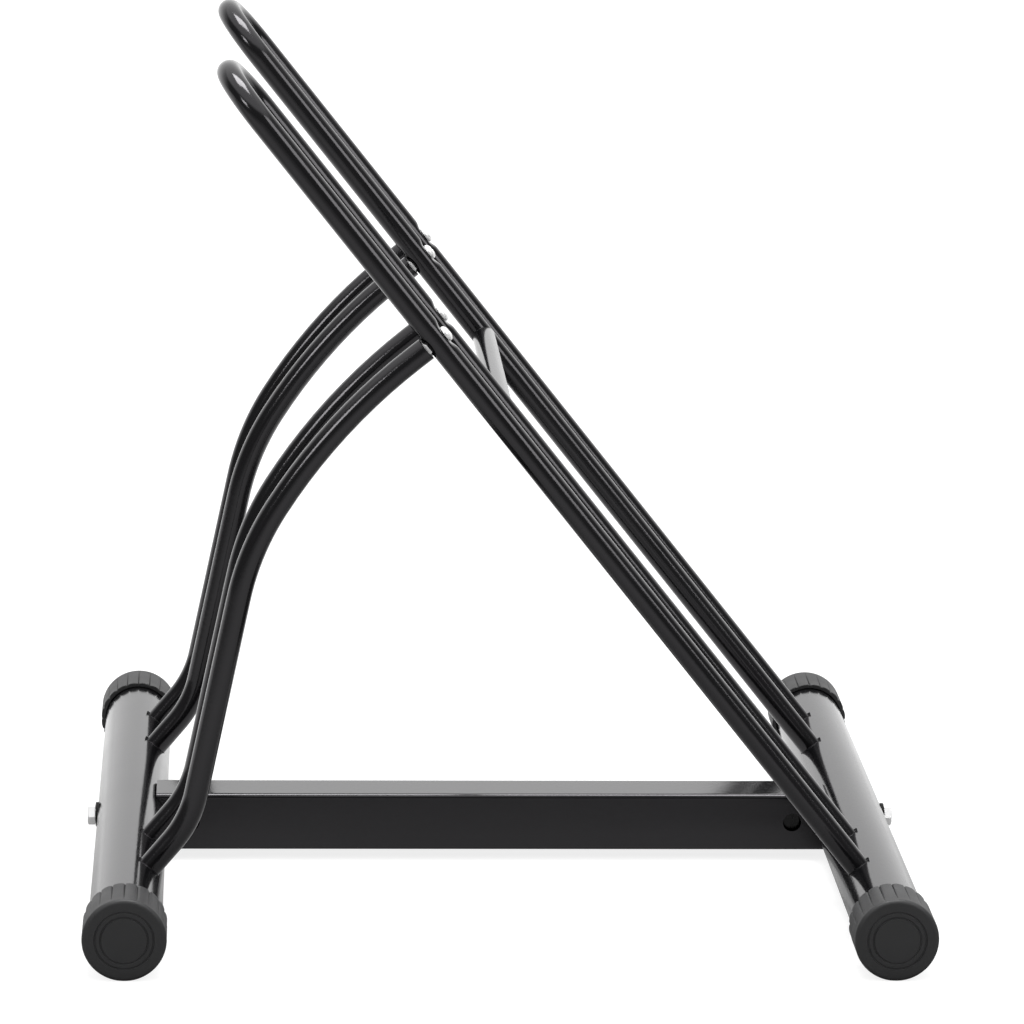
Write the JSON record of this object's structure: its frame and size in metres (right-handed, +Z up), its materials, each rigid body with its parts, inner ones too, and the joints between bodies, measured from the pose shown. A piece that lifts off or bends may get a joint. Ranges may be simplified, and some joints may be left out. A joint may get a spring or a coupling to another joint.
{
  "type": "bicycle rack",
  "caption": "Free-standing floor rack with leaning hairpin wheel loops, bent support tubes, a square cross beam and lobed end caps on round base tubes.",
  "frame": {"origin": "on the floor under the middle of the rack", "axes": "+X from the support tubes' base tube to the wheel loops' base tube, +Y along the base tubes, +Z up"},
  "size_m": [0.5618, 0.61, 0.5771],
  "materials": {
    "powder_coat": "glossy black powder coat",
    "cap_plastic": "matte black moulded plastic",
    "zinc": "bright zinc plated steel",
    "washer_plastic": "matte black plastic"
  },
  "bodies": {
    "root": {"base_tube_left": "powder_coat", "base_tube_right": "powder_coat", "cross_beam": "powder_coat", "wheel_loop_front": "powder_coat", "wheel_loop_back": "powder_coat", "loop_strut": "powder_coat", "support_tube_1": "powder_coat", "support_tube_2": "powder_coat", "support_tube_3": "powder_coat", "support_tube_4": "powder_coat", "end_cap_left_front": "cap_plastic", "end_cap_left_back": "cap_plastic", "end_cap_right_front": "cap_plastic", "end_cap_right_back": "cap_plastic", "beam_bolt_left": "zinc", "beam_bolt_right": "zinc", "barrel_nut_left": "zinc", "barrel_nut_right": "zinc", "loop_bolt_1": "zinc", "loop_bolt_2": "zinc", "loop_bolt_3": "zinc", "loop_bolt_4": "zinc", "insert_nut_1": "zinc", "insert_nut_2": "zinc", "insert_nut_3": "zinc", "insert_nut_4": "zinc", "bolt_saddle_washer_left": "washer_plastic", "bolt_saddle_washer_right": "washer_plastic", "leg_saddle_washer_1": "washer_plastic", "leg_saddle_washer_2": "washer_plastic", "leg_saddle_washer_3": "washer_plastic", "leg_saddle_washer_4": "washer_plastic"}
  },
  "joints": []
}
